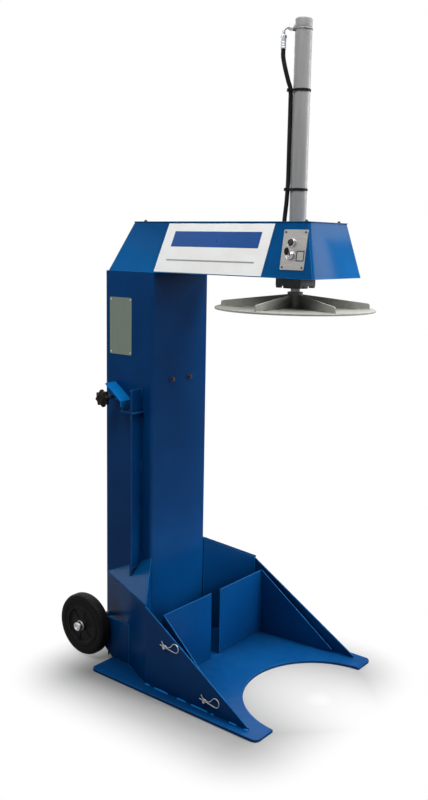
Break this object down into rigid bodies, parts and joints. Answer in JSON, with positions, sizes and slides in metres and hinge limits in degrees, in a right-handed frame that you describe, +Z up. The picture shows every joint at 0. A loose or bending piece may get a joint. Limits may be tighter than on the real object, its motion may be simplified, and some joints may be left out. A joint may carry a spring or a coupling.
{
  "type": "waste compactor",
  "caption": "Mobile hydraulic waste compactor: an upright press on a floor plate that pushes a round ribbed platen down into a wheeled bin.",
  "frame": {"origin": "on the floor, at the centre of the whole machine's footprint", "axes": "+Z up, -Y towards the open front where the bin is pushed in, +Y towards the transport wheels, -X towards the side with the controls"},
  "size_m": [0.714, 1.0694, 2.2],
  "materials": {
    "paint_blue": "glossy blue enamel on sheet steel",
    "paint_blue_head": "glossy blue enamel on sheet steel",
    "paint_grey": "satin grey enamel",
    "paint_dark": "satin black oxide and paint",
    "platen_steel": "satin grey enamel, worn",
    "rod_chrome": "ground and chromed",
    "zinc": "bright zinc plate",
    "seal": "black nitrile",
    "hose": "matt black hose cover",
    "nylon_black": "black moulded nylon",
    "tyre": "black solid rubber",
    "wheel_hub": "black moulded plastic",
    "label_white": "white printed film",
    "panel_metal": "brushed and anodised",
    "data_metal": "etched and anodised",
    "bezel_chrome": "polished chrome",
    "knob_black": "black moulded resin",
    "machine_grey": "plain grey enamel",
    "block_alu": "machined",
    "box_plastic": "moulded"
  },
  "bodies": {
    "stand": {"base_plate": "paint_blue", "left_side_sheet": "paint_blue", "right_side_sheet": "paint_blue", "front_webs": "paint_blue", "filler_plates": "paint_blue", "column_shell": "paint_blue", "rear_cover": "paint_blue", "rear_cover_screws": "zinc", "column_front_screws": "zinc", "head_floor": "paint_blue", "head_beam": "paint_blue", "head_hood": "paint_blue_head", "head_top_cover": "paint_blue", "top_cover_screws": "paint_dark", "side_label_panel": "label_white", "control_plate": "panel_metal", "control_plate_screws": "zinc", "button_housing": "bezel_chrome", "key_switch_housing": "bezel_chrome", "switch_label": "label_white", "cylinder_tube": "paint_grey", "cylinder_cap": "paint_grey", "cylinder_flange": "paint_dark", "flange_bolts": "paint_dark", "rod_gland": "paint_dark", "hose_fittings": "zinc", "pressure_hose": "hose", "return_hose": "hose", "cable_ties": "nylon_black", "hose_grommet": "seal", "wheel_brackets": "paint_blue", "wheel_axle": "zinc", "axle_washers": "zinc", "axle_caps": "zinc", "left_guide": "paint_blue", "right_guide": "paint_blue", "guide_pins": "zinc", "spring_clips": "zinc", "side_fin": "paint_blue", "latch_shelf": "paint_blue", "latch_stud": "zinc", "data_plate": "data_metal", "oil_tank": "machine_grey", "pump_motor": "machine_grey", "valve_block": "block_alu", "control_box": "box_plastic", "cable_gland": "nylon_black"},
    "ram": {"piston_and_rod": "rod_chrome", "piston_seals": "seal", "platen_disc": "platen_steel", "platen_ribs": "platen_steel", "platen_hub": "platen_steel"},
    "left_wheel": {"left_wheel_tyre": "tyre", "left_wheel_hub": "wheel_hub"},
    "right_wheel": {"right_wheel_tyre": "tyre", "right_wheel_hub": "wheel_hub"},
    "start_button": {"push_button": "nylon_black"},
    "key_core": {"switch_key": "bezel_chrome"},
    "latch": {"latch_plate": "paint_blue_head"},
    "clamp_knob": {"star_knob": "knob_black"}
  },
  "joints": [
    {"name": "press_stroke", "type": "slide", "parent": "stand", "child": "ram", "axis": [0, 0, -1], "range_m": [0, 0.6]},
    {"name": "left_wheel_roll", "type": "hinge", "parent": "stand", "child": "left_wheel", "pos_m": [-0.2785, 0.42125, 0.118], "axis": [1, 0, 0], "continuous": true},
    {"name": "right_wheel_roll", "type": "hinge", "parent": "stand", "child": "right_wheel", "pos_m": [0.2785, 0.42125, 0.118], "axis": [1, 0, 0], "continuous": true},
    {"name": "button_press", "type": "slide", "parent": "stand", "child": "start_button", "axis": [0.9848, 0, -0.1738], "range_m": [0, 0.004], "stiffness_N_per_m": 400, "springref_m": -0.004},
    {"name": "key_turn", "type": "hinge", "parent": "stand", "child": "key_core", "pos_m": [-0.13275, -0.34175, 1.47962], "axis": [-0.9848, 0, 0.1738], "range_deg": [-90, 0]},
    {"name": "latch_lift", "type": "hinge", "parent": "stand", "child": "latch", "pos_m": [-0.153, 0.38225, 0.96], "axis": [1, 0, 0], "range_deg": [-60, 0]},
    {"name": "knob_screw", "type": "hinge", "parent": "stand", "child": "clamp_knob", "pos_m": [-0.225, 0.38225, 0.96], "axis": [1, 0, 0], "range_deg": [0, 720]}
  ]
}
